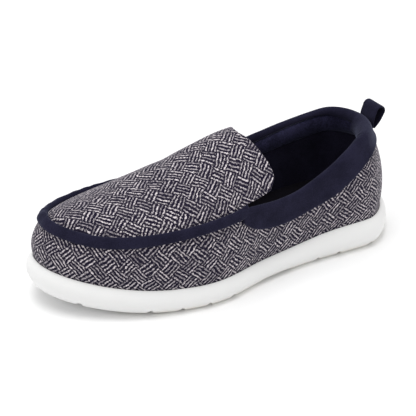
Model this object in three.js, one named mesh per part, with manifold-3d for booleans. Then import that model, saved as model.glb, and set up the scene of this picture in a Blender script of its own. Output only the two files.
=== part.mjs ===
// A slip-on moccasin house slipper for the left foot, in millimetres: a moulded sole, an upper of
// woven tweed with a raised seam round the toe, a soft collar band, a pull loop and an insole.
// +X points to the toe, +Y to the outer side, +Z up. The origin is on the floor, under the middle
// of the whole slipper's length and width.
import * as THREE from 'three';
import { mergeVertices } from 'three/addons/utils/BufferGeometryUtils.js';
import Module from 'manifold-3d';

const wasm = await Module();
wasm.setup();

// Driving sizes of the sole
const soleLength = 300;
const ballWidth = 110;
const waistWidth = 88;
const heelWidth = 88;
const toeSweep = 17;
const heelSide = 25.4;
const waistSide = 18;
const toeSide = 22;
const toeSpring = 12.6;
const heelSpring = 2.5;
const bulgeOut = 5.3;
const lipWidth = 0.7;
const recessDepth = 4;
const archRise = 3;
const grooveWidth = 4;
const grooveDepth = 2.2;

// Driving sizes of the upper and what is sewn to it
const wall = 2.6;
const gap = 0.3;
const wallBulge = 3;
const seamHeight = 60;
const seamInset = 10.5;
const instepHeight = 104.5;
const collarHeight = 91;
const throatHeight = 62;
const tabReach = 27;
const tabHalfWidth = 36;
const tabCorner = 9;
const tabDip = 16;
const stripDrop = 4.5;
const stripRise = 1.8;
const stripThickness = 2;
const cuffThickness = 2;
const cuffWidth = 17;
const cuffFront = 6;
const loopWidth = 15;
const loopStrap = 1.6;
const loopLength = 17.5;
const loopRadius = 3.8;
const loopLean = 20;
const loopDrop = 8.5;
const insoleThickness = 6;
const insoleEdge = 1.5;

// The sole's widest line: half-widths to the outer and inner side, as shares of the width named.
const outlineRows = [
  { along: 0.00, width: heelWidth, outer: 0.440, inner: 0.440 },
  { along: 0.13, width: heelWidth, outer: 0.545, inner: 0.470 },
  { along: 0.30, width: waistWidth, outer: 0.525, inner: 0.490 },
  { along: 0.45, width: waistWidth, outer: 0.560, inner: 0.500 },
  { along: 0.60, width: ballWidth, outer: 0.545, inner: 0.445 },
  { along: 0.72, width: ballWidth, outer: 0.530, inner: 0.465 },
  { along: 0.85, width: ballWidth, outer: 0.460, inner: 0.440 },
  { along: 1.00, width: ballWidth, outer: 0.375, inner: 0.375 },
];
const heelRound = 0.13;
const toeRound = 0.24;
const toeSquareness = 2.3;
const sweepStart = 0.45;
const springStart = 0.64;
const heelSpringEnd = 0.06;

// The height of the sole's side above its bottom edge, as shares of the side heights.
const sideRows = [
  { along: 0.0, side: heelSide, share: 0.90 },
  { along: 0.2, side: heelSide, share: 0.93 },
  { along: 0.4, side: waistSide, share: 1.00 },
  { along: 0.6, side: waistSide, share: 0.98 },
  { along: 0.8, side: toeSide, share: 0.87 },
  { along: 1.0, side: toeSide, share: 1.00 },
];

// The ridge where the side wall turns into the vamp or, at the back, ends inside the opening:
// its inset from the sole's widest line, how late the wall leans in on its way up, and its height.
const ridgeRows = [
  { along: 0.00, outer: 3.20, inner: 3.20, lean: 2.2, height: collarHeight, share: 1.18 },
  { along: 0.10, outer: 2.35, inner: 1.80, lean: 2.1, height: collarHeight, share: 1.16 },
  { along: 0.20, outer: 1.57, inner: 0.87, lean: 1.9, height: collarHeight, share: 1.12 },
  { along: 0.30, outer: 1.15, inner: 0.55, lean: 1.6, height: collarHeight, share: 1.00 },
  { along: 0.40, outer: 0.95, inner: 0.50, lean: 1.6, height: seamHeight, share: 1.23 },
  { along: 0.50, outer: 0.86, inner: 0.60, lean: 1.6, height: seamHeight, share: 1.03 },
  { along: 0.60, outer: 1.00, inner: 0.75, lean: 1.6, height: seamHeight, share: 1.00 },
  { along: 0.75, outer: 1.05, inner: 0.72, lean: 1.6, height: seamHeight, share: 1.00 },
  { along: 0.88, outer: 1.24, inner: 0.95, lean: 1.6, height: seamHeight, share: 1.00 },
  { along: 1.00, outer: 1.52, inner: 1.52, lean: 1.6, height: seamHeight, share: 1.00 },
];

// The top line of the vamp from the instep to the toe: how far to the inner side it lies, as a
// share of the toe's sweep, its height, and how full the vamp is on each side of it.
const spineRows = [
  { along: 0.00, sideways: 0.00, share: 1.120, outer: 2.3, inner: 2.3 },
  { along: 0.30, sideways: 0.17, share: 1.030, outer: 2.3, inner: 2.3 },
  { along: 0.42, sideways: 0.24, share: 0.995, outer: 2.3, inner: 2.3 },
  { along: 0.50, sideways: 0.30, share: 0.983, outer: 2.3, inner: 2.2 },
  { along: 0.58, sideways: 0.35, share: 0.942, outer: 2.2, inner: 2.0 },
  { along: 0.68, sideways: 0.41, share: 0.855, outer: 2.1, inner: 1.8 },
  { along: 0.78, sideways: 0.55, share: 0.757, outer: 2.0, inner: 1.6 },
  { along: 0.86, sideways: 0.72, share: 0.683, outer: 2.0, inner: 1.6 },
  { along: 0.92, sideways: 0.84, share: 0.634, outer: 2.0, inner: 1.6 },
];
const spineStart = 0.14;
const spineEnd = 0.90;

// The opening's edge on each side, as shares of the collar's or the throat's height.
const rimRows = [
  { along: 0.00, outer: 1.000 * collarHeight, inner: 1.000 * collarHeight },
  { along: 0.10, outer: 1.005 * collarHeight, inner: 0.990 * collarHeight },
  { along: 0.15, outer: 0.990 * collarHeight, inner: 0.965 * collarHeight },
  { along: 0.20, outer: 0.925 * collarHeight, inner: 0.925 * collarHeight },
  { along: 0.25, outer: 0.840 * collarHeight, inner: 0.885 * collarHeight },
  { along: 0.30, outer: 0.770 * collarHeight, inner: 0.845 * collarHeight },
  { along: 0.36, outer: 1.035 * throatHeight, inner: 1.180 * throatHeight },
  { along: 0.42, outer: 1.000 * throatHeight, inner: 1.100 * throatHeight },
  { along: 0.50, outer: 1.030 * throatHeight, inner: 1.050 * throatHeight },
  { along: 0.55, outer: 1.080 * throatHeight, inner: 1.080 * throatHeight },
];

// The width of the collar band below the opening's edge, as a share of its width along the side.
const cuffRows = [
  { along: 0.00, share: 0.74 },
  { along: 0.10, share: 0.50 },
  { along: 0.13, share: 0.62 },
  { along: 0.16, share: 0.92 },
  { along: 0.20, share: 1.26 },
  { along: 0.25, share: 1.32 },
  { along: 0.33, share: 1.08 },
  { along: 0.42, share: 1.02 },
  { along: 0.47, share: 0.94 },
  { along: 0.50, share: 0.74 },
  { along: 0.52, share: 0.50 },
];

// How far the seam strip reaches over the vamp, as a share of its reach at the toe.
const stripRows = [
  { along: 0.50, share: 2.6 },
  { along: 0.58, share: 1.4 },
  { along: 0.70, share: 1.0 },
  { along: 1.00, share: 1.0 },
];

const stations = 76;
const wallRings = 7;
const crownRings = 6;

// A smooth curve through the rows: a cubic with slopes taken from the rows on either side.
function along(rows, share, value) {
  const last = rows.length - 1;
  const at = Math.min(Math.max(share, rows[0].along), rows[last].along);
  let i = 0;
  while (i < last - 1 && rows[i + 1].along <= at) i += 1;
  const slope = (k) => {
    const a = Math.max(k - 1, 0);
    const b = Math.min(k + 1, last);
    return (value(rows[b]) - value(rows[a])) / (rows[b].along - rows[a].along);
  };
  const step = rows[i + 1].along - rows[i].along;
  const t = (at - rows[i].along) / step;
  const [t2, t3] = [t * t, t * t * t];
  return (2 * t3 - 3 * t2 + 1) * value(rows[i]) + (t3 - 2 * t2 + t) * step * slope(i)
    + (3 * t2 - 2 * t3) * value(rows[i + 1]) + (t3 - t2) * step * slope(i + 1);
}

const clamp = (value, low, high) => Math.min(Math.max(value, low), high);
const mix = (a, b, t) => a + (b - a) * t;
const share = (x) => x / soleLength + 0.5;
const station = (turn) => (1 - Math.cos(2 * Math.PI * turn)) / 2;
const isOuter = (turn) => Math.sin(2 * Math.PI * turn) >= 0;

// The rounding of heel and toe, from 0 at the tips to 1 along the sides.
function rounding(s) {
  const back = clamp((heelRound - s) / heelRound, 0, 1);
  const front = clamp((s - 1 + toeRound) / toeRound, 0, 1);
  return Math.sqrt(1 - back * back) * Math.max(0, 1 - front ** toeSquareness) ** (1 / toeSquareness);
}

const sweep = (s) => -toeSweep * clamp((s - sweepStart) / (1 - sweepStart), 0, 1) ** 2;

// A point of the sole's widest line. The turn runs 0 at the heel, 0.25 on the outer side, 0.5 at
// the toe and 0.75 on the inner side.
function outlinePoint(turn) {
  const s = station(turn);
  const width = isOuter(turn)
    ? along(outlineRows, s, (row) => row.width * row.outer)
    : -along(outlineRows, s, (row) => row.width * row.inner);
  return [(s - 0.5) * soleLength, sweep(s) + width * rounding(s)];
}

// The same line moved inwards at right angles to itself.
function insetPoint(turn, inset) {
  const reach = 1e-3;
  const [x0, y0] = outlinePoint(turn - reach);
  const [x1, y1] = outlinePoint(turn + reach);
  const [x, y] = outlinePoint(turn);
  const length = Math.hypot(x1 - x0, y1 - y0);
  const outward = [-(y1 - y0) / length, (x1 - x0) / length];
  return { x: x - outward[0] * inset, y: y - outward[1] * inset, outward };
}

const springAt = (x) => {
  const toe = clamp((share(x) - springStart) / (1 - springStart), 0, 1);
  const heel = clamp((heelSpringEnd - share(x)) / heelSpringEnd, 0, 1);
  return toeSpring * toe * toe + heelSpring * heel * heel;
};
const featherAt = (x) => springAt(x) + along(sideRows, share(x), (row) => row.side * row.share);
const floorAt = (x) => featherAt(x) - recessDepth;

// The upper's outer surface. Level 0 is its bottom edge in the sole's recess, 1 the ridge and 2 the
// top of the vamp. It stands straight up to the sole's lip, then bellies out and leans in.
const footInset = bulgeOut + lipWidth + gap;
const inRecess = 0.1;

function upperPoint(turn, level) {
  const s = station(turn);
  const foot = insetPoint(turn, footInset);
  const inset = seamInset * along(ridgeRows, s, (row) => (isOuter(turn) ? row.outer : row.inner));
  const ridge = insetPoint(turn, inset);
  const ridgeZ = along(ridgeRows, s, (row) => row.height * row.share);
  const footZ = floorAt(foot.x) + gap;
  const featherZ = featherAt(foot.x);
  if (level <= inRecess) {
    return new THREE.Vector3(foot.x, foot.y, mix(footZ, featherZ, level / inRecess));
  }
  if (level <= 1) {
    const up = (level - inRecess) / (1 - inRecess);
    const lean = up ** along(ridgeRows, s, (row) => row.lean);
    const belly = wallBulge * 4 * up * (1 - up);
    return new THREE.Vector3(
      mix(foot.x, ridge.x, lean) + foot.outward[0] * belly,
      mix(foot.y, ridge.y, lean) + foot.outward[1] * belly,
      mix(featherZ, ridgeZ, up),
    );
  }
  const t = level - 1;
  const spine = mix(spineStart, spineEnd, s);
  const spineY = -toeSweep * along(spineRows, spine, (row) => row.sideways);
  const spineZ = instepHeight * along(spineRows, spine, (row) => row.share);
  const fullness = along(spineRows, spine, (row) => (isOuter(turn) ? row.outer : row.inner));
  const rise = 1 - (1 - t) ** fullness;
  return new THREE.Vector3(
    mix(ridge.x, (spine - 0.5) * soleLength, t),
    mix(ridge.y, spineY, t),
    mix(ridgeZ, spineZ, rise),
  );
}

// The same surface moved outwards by a distance, or inwards where it is negative.
function shellPoint(turn, level, distance) {
  const near = clamp(level, 0.02, 1.96);
  const du = upperPoint(turn + 2e-3, near).sub(upperPoint(turn - 2e-3, near));
  const dv = upperPoint(turn, near + 0.02).sub(upperPoint(turn, near - 0.02));
  const normal = dv.cross(du).normalize();
  return upperPoint(turn, level).addScaledVector(normal, distance);
}

// The level at which the upper's surface reaches a height, found by halving.
function levelAt(turn, height) {
  let [low, high] = [0, 2];
  for (let i = 0; i < 30; i += 1) {
    const middle = (low + high) / 2;
    if (upperPoint(turn, middle).z < height) low = middle;
    else high = middle;
  }
  return low;
}

const turns = Array.from({ length: stations }, (_, i) => i / stations);

// A closed body from rings of points, where the first and last ring fold flat on the middle line.
function loft(rings) {
  const positions = rings.flatMap((ring) => ring.flatMap((point) => point.toArray()));
  const count = rings[0].length;
  const index = [];
  for (let j = 0; j < rings.length - 1; j += 1) {
    for (let i = 0; i < count; i += 1) {
      const k = (i + 1) % count;
      const [a, b, c, d] = [j * count + i, j * count + k, (j + 1) * count + k, (j + 1) * count + i];
      index.push(a, c, b, a, d, c);
    }
  }
  return surface(positions, index);
}

// A closed strip laid over the upper: columns of four-sided or longer sections, capped at both ends.
function band(sections) {
  const count = sections[0].length;
  const positions = sections.flatMap((section) => section.flatMap((point) => point.toArray()));
  const index = [];
  for (let j = 0; j < sections.length - 1; j += 1) {
    for (let i = 0; i < count; i += 1) {
      const k = (i + 1) % count;
      const [a, b, c, d] = [j * count + i, j * count + k, (j + 1) * count + k, (j + 1) * count + i];
      index.push(a, b, c, a, c, d);
    }
  }
  const end = (sections.length - 1) * count;
  for (let i = 1; i < count - 1; i += 1) {
    index.push(0, i + 1, i);
    index.push(end, end + i, end + i + 1);
  }
  return surface(positions, index);
}

function surface(positions, index) {
  const geometry = new THREE.BufferGeometry();
  geometry.setAttribute('position', new THREE.Float32BufferAttribute(positions, 3));
  geometry.setIndex(index);
  return geometry;
}

function toSolid(source) {
  const geometry = source.clone();
  geometry.deleteAttribute('normal');
  geometry.deleteAttribute('uv');
  const merged = mergeVertices(geometry, 1e-4);
  const index = merged.getIndex().array;
  const triVerts = [];
  for (let i = 0; i < index.length; i += 3) {
    const [a, b, c] = [index[i], index[i + 1], index[i + 2]];
    if (a !== b && b !== c && c !== a) triVerts.push(a, b, c);
  }
  const solid = new wasm.Manifold(new wasm.Mesh({
    numProp: 3,
    vertProperties: new Float32Array(merged.getAttribute('position').array),
    triVerts: new Uint32Array(triVerts),
  }));
  return solid;
}

function toGeometry(solid) {
  const mesh = solid.getMesh();
  return surface(Array.from(mesh.vertProperties), Array.from(mesh.triVerts));
}

// A side view, drawn in X and Z, pushed through the shoe from one side to the other.
function sideBlock(points, fromY, toY) {
  const shape = new THREE.Shape(points.map(([x, z]) => new THREE.Vector2(x, z)));
  const block = new THREE.ExtrudeGeometry(shape, { depth: toY - fromY, bevelEnabled: false });
  block.rotateX(Math.PI / 2);
  block.translate(0, toY, 0);
  return toSolid(block);
}

// The middle line of the foot bed, on which the lower rings fold flat.
function middlePoint(turn, height) {
  const s = mix(spineStart, spineEnd, station(turn));
  const x = (s - 0.5) * soleLength;
  return new THREE.Vector3(x, sweep(s), height(x));
}

function flatRing(inset, height) {
  return turns.map((turn) => {
    const { x, y } = insetPoint(turn, inset);
    return new THREE.Vector3(x, y, height(x));
  });
}

// A ring between an edge and the middle keeps the triangles of a flat face short.
const halfwayShare = 0.45;

function halfwayRing(ring, height) {
  return turns.map((turn, i) => {
    const point = ring[i].clone().lerp(middlePoint(turn, height), halfwayShare);
    point.z = height(point.x);
    return point;
  });
}

const middleRing = (height) => turns.map((turn) => middlePoint(turn, height));

// The moulded sole: a convex side between the tread and a thin lip, and a recess for the upper.
function makeSole() {
  const sideShape = [
    { up: 0.00, out: 1.15 }, { up: 0.07, out: 0.66 }, { up: 0.22, out: 0.25 }, { up: 0.45, out: 0.00 },
    { up: 0.70, out: 0.16 }, { up: 0.90, out: 0.62 }, { up: 0.99, out: 1.00 },
  ];
  const sides = sideShape.map(({ up, out }) => (
    flatRing(bulgeOut * out, (x) => mix(springAt(x), featherAt(x), up))
  ));
  const lipInner = bulgeOut + lipWidth;
  const lip = [
    flatRing(bulgeOut + lipWidth * 0.5, featherAt),
    flatRing(lipInner, (x) => featherAt(x) - lipWidth * 0.4),
    flatRing(lipInner, floorAt),
  ];
  const rings = [
    middleRing(springAt),
    halfwayRing(sides[0], springAt),
    ...sides,
    ...lip,
    halfwayRing(lip[2], floorAt),
    middleRing(floorAt),
  ];
  let sole = toSolid(loft(rings));
  sole = sole.subtract(archCut());
  for (const place of grooveRows) sole = sole.subtract(grooveCut(place));
  return toGeometry(sole);
}

// The tread is two pads with a shallow relief under the arch between them.
const padRear = 0.365;
const padFront = 0.495;
const padSlope = 5;

// Every cut reaches past the slipper by these: sideways, and through a face.
const beyond = soleLength / 3;
const through = 1;

function archCut() {
  const rear = (padRear - 0.5) * soleLength;
  const front = (padFront - 0.5) * soleLength;
  const outline = [
    [rear, -through], [rear + padSlope, archRise], [front - 2 * padSlope, archRise], [front, -through],
  ];
  return sideBlock(outline, -beyond, beyond);
}

// Narrow grooves across the tread let the sole bend, by their place along it.
const grooveRows = [0.125, 0.225, 0.290, 0.565, 0.635, 0.705, 0.780, 0.860];

function grooveCut(place) {
  const x = (place - 0.5) * soleLength;
  const tilt = Math.atan((springAt(x + 1) - springAt(x - 1)) / 2);
  const box = new THREE.BoxGeometry(grooveWidth, 2 * beyond, 2 * grooveDepth);
  box.rotateY(-tilt);
  box.translate(x, 0, springAt(x));
  return toSolid(box);
}

// The levels of the upper's rings: more of them where the ridge turns.
const levels = [
  0,
  ...Array.from({ length: wallRings }, (_, i) => mix(inRecess, 1, i / wallRings)),
  ...Array.from({ length: crownRings + 1 }, (_, i) => 1 + (i / crownRings) ** 1.3),
];

function upperForm(distance, reachDown) {
  const rings = levels.map((level) => turns.map((turn) => shellPoint(turn, level, distance)));
  const spine = rings[rings.length - 1];
  for (let i = 1; i < stations / 2; i += 1) spine[stations - i] = spine[i].clone();
  const below = (x) => floorAt(x) + gap - reachDown;
  const foot = rings[0].map((point) => new THREE.Vector3(point.x, point.y, below(point.x)));
  const lower = reachDown > 0 ? [foot] : [];
  for (const point of rings[0]) point.z = floorAt(point.x) + gap;
  return toSolid(loft([middleRing(below), ...lower, ...rings]));
}

// What the opening takes away: all that is above its edge, apart from the vamp's tab. Its edge
// runs from behind the heel to under the vamp, by place along the sole.
const openingRear = -0.1;
const openingFront = 0.53;
const openingSteps = 40;
const halvesOverlap = 0.01;

function openingCut() {
  const side = (pick, fromY, toY) => {
    const edge = Array.from({ length: openingSteps + 1 }, (_, i) => {
      const s = mix(openingRear, openingFront, i / openingSteps);
      return [(s - 0.5) * soleLength, along(rimRows, s, pick)];
    });
    const top = instepHeight * 1.5;
    return sideBlock([...edge, [edge[openingSteps][0], top], [edge[0][0], top]], fromY, toY);
  };
  return side((row) => row.outer, 0, beyond)
    .add(side((row) => row.inner, -beyond, halvesOverlap))
    .subtract(tabBlock());
}

// The vamp's tab from above: straight sides that spread to the throat, and round rear corners.
const tabFlare = 1;
const tabSpread = { behind: 4, wide: 5 };
const throatSpread = { ahead: 2, wide: 14 };
const tabBulge = 1.5;
const tabBow = 12;

function tabBlock() {
  const shape = new THREE.Shape();
  const reachX = -tabReach;
  const sides = [1, -1];
  shape.moveTo(beyond, -beyond);
  shape.lineTo(beyond, beyond);
  for (const y of sides) {
    const outward = [
      [cuffFront + throatSpread.ahead, y * beyond],
      [cuffFront, y * (tabHalfWidth + throatSpread.wide)],
      [cuffFront - tabSpread.behind, y * (tabHalfWidth + tabSpread.wide)],
      [reachX + tabCorner, y * (tabHalfWidth + tabFlare)],
    ];
    const corner = () => {
      const [a, b] = [outward[3], [reachX + tabFlare, y * (tabHalfWidth - tabCorner)]];
      const [from, to] = y > 0 ? [a, b] : [b, a];
      shape.lineTo(...from);
      shape.quadraticCurveTo(reachX - tabBulge, y * (tabHalfWidth - tabFlare), ...to);
    };
    if (y > 0) {
      outward.slice(0, 3).forEach((point) => shape.lineTo(...point));
      corner();
      shape.quadraticCurveTo(reachX + tabDip * 0.7, y * tabBow, reachX + tabDip, 0);
    } else {
      const end = [reachX + tabFlare, y * (tabHalfWidth - tabCorner)];
      shape.quadraticCurveTo(reachX + tabDip * 0.7, y * tabBow, ...end);
      corner();
      outward.slice(0, 3).reverse().forEach((point) => shape.lineTo(...point));
    }
  }
  const block = new THREE.ExtrudeGeometry(shape, { depth: 2 * instepHeight, bevelEnabled: false, curveSegments: 5 });
  return toSolid(block);
}

function makeUpper() {
  const upper = upperForm(0, 0).subtract(upperForm(-wall, 2 * recessDepth)).subtract(openingCut());
  return toGeometry(upper);
}

// Evenly spaced turns from one x on the outer side to the same x on the inner side.
function turnsBetween(x, throughToe, count) {
  const find = (outer) => {
    const s = share(x);
    const turn = Math.acos(1 - 2 * s) / (2 * Math.PI);
    return outer ? turn : 1 - turn;
  };
  const from = find(true);
  const to = throughToe ? find(false) : find(false) - 1;
  return Array.from({ length: count + 1 }, (_, i) => mix(from, to, i / count));
}

// The raised seam round the toe: a padded strip over the ridge between wall and vamp. Its ends
// stand this far in front of the collar band's.
const stripClear = 2;

function makeStrip() {
  const profile = [
    { across: 0.00, out: -0.6 }, { across: 0.5, out: -0.6 }, { across: 1.00, out: -0.6 },
    { across: 0.97, out: 0.62 }, { across: 0.75, out: 1 }, { across: 0.5, out: 1.05 },
    { across: 0.25, out: 1 }, { across: 0.03, out: 0.62 },
  ];
  const sections = turnsBetween(cuffFront + 2 * gap + stripClear, true, 46).map((turn) => {
    const ridgeZ = along(ridgeRows, station(turn), (row) => row.height * row.share);
    const low = levelAt(turn, ridgeZ - stripDrop);
    const reach = stripRise * along(stripRows, station(turn), (row) => row.share);
    const high = levelAt(turn, ridgeZ + reach);
    return profile.map(({ across, out }) => (
      shellPoint(turn, mix(low, high, across), gap + stripThickness * out)
    ));
  });
  return toGeometry(toSolid(band(sections.reverse())).subtract(upperForm(gap, 0)));
}

// The collar band: it wraps the opening from the front of the outer side, round the heel, to the
// front of the inner side.
function rimHeight(turn, x) {
  return along(rimRows, share(x), (row) => (isOuter(turn) ? row.outer : row.inner));
}

function makeCuff() {
  const profile = [
    { across: 0, out: -0.6 }, { across: 0.5, out: -0.6 }, { across: 1, out: -0.6 },
    { across: 1, out: 0.8 }, { across: 0.9, out: 1 }, { across: 0.5, out: 1 },
    { across: 0.08, out: 1 }, { across: 0, out: 0.7 },
  ];
  const sections = turnsBetween(cuffFront, false, 56).map((turn) => {
    const wrapped = (turn + 1) % 1;
    const x = upperPoint(wrapped, 0.7).x;
    const top = rimHeight(wrapped, x);
    const drop = cuffWidth * along(cuffRows, share(x), (row) => row.share);
    const low = levelAt(wrapped, top - drop);
    const high = levelAt(wrapped, top);
    return profile.map(({ across, out }) => (
      shellPoint(wrapped, mix(low, high, across), gap + cuffThickness * out)
    ));
  });
  return toGeometry(toSolid(band(sections)).subtract(upperForm(gap, 0)));
}

// The pull loop: a strap folded into a drop shape, sewn to the back of the collar band. Its hole
// starts above the stitching by so many thicknesses of the strap.
const loopStitched = 2.4;

function makeLoop() {
  const foot = shellPoint(0, levelAt(0, collarHeight - loopDrop), 2 * gap + cuffThickness);
  const drop = (radius, reach) => {
    const path = new THREE.Path();
    const spread = Math.asin(radius / reach);
    const centre = [0, reach];
    path.moveTo(0, 0);
    path.absarc(centre[0], centre[1], radius, -spread, Math.PI + spread, false);
    path.lineTo(0, 0);
    return path.getPoints(8);
  };
  const reach = loopLength - loopRadius;
  const shape = new THREE.Shape(drop(loopRadius, reach));
  const inside = drop(loopRadius - loopStrap, reach - loopStitched * loopStrap)
    .map((point) => point.setY(point.y + loopStitched * loopStrap));
  shape.holes.push(new THREE.Path(inside));
  const strap = new THREE.ExtrudeGeometry(shape, { depth: loopWidth, bevelEnabled: false });
  strap.translate(0, 0, -loopWidth / 2);
  strap.rotateX(Math.PI / 2);
  strap.rotateY(-THREE.MathUtils.degToRad(loopLean));
  strap.translate(foot.x, foot.y, foot.z);
  return toGeometry(toSolid(strap));
}

// The insole lies on the foot bed, inside the upper's wall.
function makeInsole() {
  const inset = footInset + wall + gap;
  const bed = (x) => floorAt(x) + 2 * gap;
  const top = (x) => bed(x) + insoleThickness;
  const bottom = flatRing(inset, bed);
  const side = flatRing(inset, (x) => top(x) - insoleEdge);
  const edge = flatRing(inset + insoleEdge, top);
  return toGeometry(toSolid(loft([
    middleRing(bed), halfwayRing(bottom, bed), bottom, side, edge, halfwayRing(edge, top), middleRing(top),
  ])));
}

const finishes = {
  foam: { color: 0xe8e8e6, roughness: 0.6, metalness: 0 },
  tweed: { color: 0x6c6878, roughness: 0.95, metalness: 0 },
  suede: { color: 0x23253a, roughness: 0.9, metalness: 0 },
  lining: { color: 0x1d1f33, roughness: 1, metalness: 0 },
};

function add(group, name, geometry, finish) {
  const mesh = new THREE.Mesh(geometry, new THREE.MeshStandardMaterial(finishes[finish]));
  mesh.name = name;
  group.add(mesh);
}

const slipper = new THREE.Group();
add(slipper, 'sole', makeSole(), 'foam');
add(slipper, 'upper', makeUpper(), 'tweed');
add(slipper, 'moc_strip', makeStrip(), 'suede');
add(slipper, 'collar_band', makeCuff(), 'suede');
add(slipper, 'heel_loop', makeLoop(), 'suede');
add(slipper, 'insole', makeInsole(), 'lining');

const bounds = new THREE.Box3().setFromObject(slipper);
const middle = bounds.getCenter(new THREE.Vector3());
slipper.position.set(-middle.x, -middle.y, -bounds.min.z);

export default slipper;
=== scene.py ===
# The left slipper of a pair of slip-on moccasin house slippers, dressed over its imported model.
# Everything is in metres: +X points to the toe, +Y to the outer side of the foot, +Z up.
import math

import bmesh
import bpy
import numpy as np
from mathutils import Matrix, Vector


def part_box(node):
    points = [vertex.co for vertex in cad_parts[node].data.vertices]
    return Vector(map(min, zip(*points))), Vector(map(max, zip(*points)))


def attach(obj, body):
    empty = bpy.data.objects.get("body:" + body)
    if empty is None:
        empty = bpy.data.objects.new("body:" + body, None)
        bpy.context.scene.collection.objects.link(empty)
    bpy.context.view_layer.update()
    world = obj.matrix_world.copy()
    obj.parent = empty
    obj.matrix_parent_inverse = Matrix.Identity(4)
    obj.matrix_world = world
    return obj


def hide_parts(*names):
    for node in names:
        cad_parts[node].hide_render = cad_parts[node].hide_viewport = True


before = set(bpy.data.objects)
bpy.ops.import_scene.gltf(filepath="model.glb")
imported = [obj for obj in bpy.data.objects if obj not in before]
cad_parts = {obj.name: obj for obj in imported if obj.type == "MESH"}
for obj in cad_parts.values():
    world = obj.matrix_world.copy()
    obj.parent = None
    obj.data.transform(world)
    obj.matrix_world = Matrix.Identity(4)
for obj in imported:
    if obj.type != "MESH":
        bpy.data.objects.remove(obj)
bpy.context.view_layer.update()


# Sole
# One block of white foam, moulded in a steel mould, with a convex side, a thin lip on top and a
# plain tread with flex grooves. The lasted upper is cemented into the recess inside the lip.

SOLE_LOW, SOLE_HIGH = (np.array(corner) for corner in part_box("sole"))
SOLE_LENGTH = SOLE_HIGH[0] - SOLE_LOW[0]
BALL_WIDTH = 0.110
WAIST_WIDTH = 0.088
HEEL_WIDTH = 0.088
TOE_SWEEP = 0.017
HEEL_SIDE = 0.0254
WAIST_SIDE = 0.018
TOE_SIDE = 0.022
TOE_SPRING = 0.0126
HEEL_SPRING = 0.0025
BULGE = 0.0053
LIP_WIDTH = 0.0007
RECESS_DEPTH = 0.004
ARCH_RISE = 0.003
GROOVE_WIDTH = 0.004
GROOVE_DEPTH = 0.0024
SIDE_NOTCH = 0.0040
PAD_REAR = 0.365
PAD_FRONT = 0.495
GROOVES = [0.125, 0.225, 0.290, 0.565, 0.635, 0.705, 0.780, 0.925]
HEEL_ROUND = 0.13
TOE_ROUND = 0.24
TOE_SQUARENESS = 2.3
SWEEP_START = 0.45
SPRING_START = 0.64
HEEL_SPRING_END = 0.06
MIDDLE_START = 0.14
MIDDLE_END = 0.90

# Half-widths of the widest line, by place along the sole.
SOLE_LINE = {
    "along": [0.00, 0.13, 0.30, 0.45, 0.60, 0.72, 0.85, 1.00],
    "width": [HEEL_WIDTH, HEEL_WIDTH, WAIST_WIDTH, WAIST_WIDTH, BALL_WIDTH, BALL_WIDTH, BALL_WIDTH,
              BALL_WIDTH],
    "outer": [0.440, 0.545, 0.525, 0.560, 0.545, 0.530, 0.460, 0.375],
    "inner": [0.440, 0.470, 0.490, 0.500, 0.445, 0.465, 0.440, 0.375],
}
SOLE_LINE["outer"] = np.multiply(SOLE_LINE["outer"], SOLE_LINE["width"])
SOLE_LINE["inner"] = np.multiply(SOLE_LINE["inner"], SOLE_LINE["width"])

# Height of the side above the bottom edge.
SOLE_SIDE = {
    "along": [0.0, 0.2, 0.4, 0.6, 0.8, 1.0],
    "height": [0.90 * HEEL_SIDE, 0.93 * HEEL_SIDE, 1.00 * WAIST_SIDE, 0.98 * WAIST_SIDE,
               0.87 * TOE_SIDE, 1.00 * TOE_SIDE],
}

# The convex side in section: height as a share of the side, and inset as a share of the bulge.
SIDE_SECTION = {
    "along": [0.00, 0.12, 0.26, 0.45, 0.66, 0.86, 1.00],
    "up": [0.00, 0.06, 0.21, 0.45, 0.72, 0.92, 1.00],
    "inset": [1.20, 0.68, 0.25, 0.00, 0.18, 0.66, 1.04],
}


def through(table, column, s):
    """A smooth curve through a table's rows: between two rows it is a cubic, whose slope at each
    row is that of the straight line from the row before it to the row after it."""
    place = np.array(table["along"], float)
    value = np.array(table[column], float)
    before = np.maximum(np.arange(len(place)) - 1, 0)
    after = np.minimum(np.arange(len(place)) + 1, len(place) - 1)
    slope = (value[after] - value[before]) / (place[after] - place[before])
    at = np.clip(s, place[0], place[-1])
    row = np.clip(np.searchsorted(place, at, side="right") - 1, 0, len(place) - 2)
    step = place[row + 1] - place[row]
    t = (at - place[row]) / step
    start = (2 * t**3 - 3 * t**2 + 1) * value[row] + (t**3 - 2 * t**2 + t) * step * slope[row]
    end = (3 * t**2 - 2 * t**3) * value[row + 1] + (t**3 - t**2) * step * slope[row + 1]
    return start + end


def mix(a, b, t):
    """The straight blend of two values: a at 0, b at 1."""
    return a + (b - a) * t


def soft_step(low, high, value):
    """0 below low, 1 above high, and the curve 3t2 - 2t3 between them."""
    t = np.clip((value - low) / (high - low), 0, 1)
    return t * t * (3 - 2 * t)


def station(turn):
    """The place along the sole, 0 at the heel and 1 at the toe, of a turn round it: half of one
    minus the cosine of the turn."""
    return (1 - np.cos(2 * np.pi * turn)) / 2


def outer_side(turn):
    """Where a turn is on the outer side of the foot, between 0 and a half."""
    return np.sin(2 * np.pi * turn) >= 0


def share(x):
    """The place along the sole of an x, from 0 to 1."""
    return x / SOLE_LENGTH + 0.5


def sweep(s):
    """The toe end's sweep to the inner side: it grows with the square of the way past the waist."""
    return -TOE_SWEEP * np.clip((s - SWEEP_START) / (1 - SWEEP_START), 0, 1) ** 2


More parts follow.
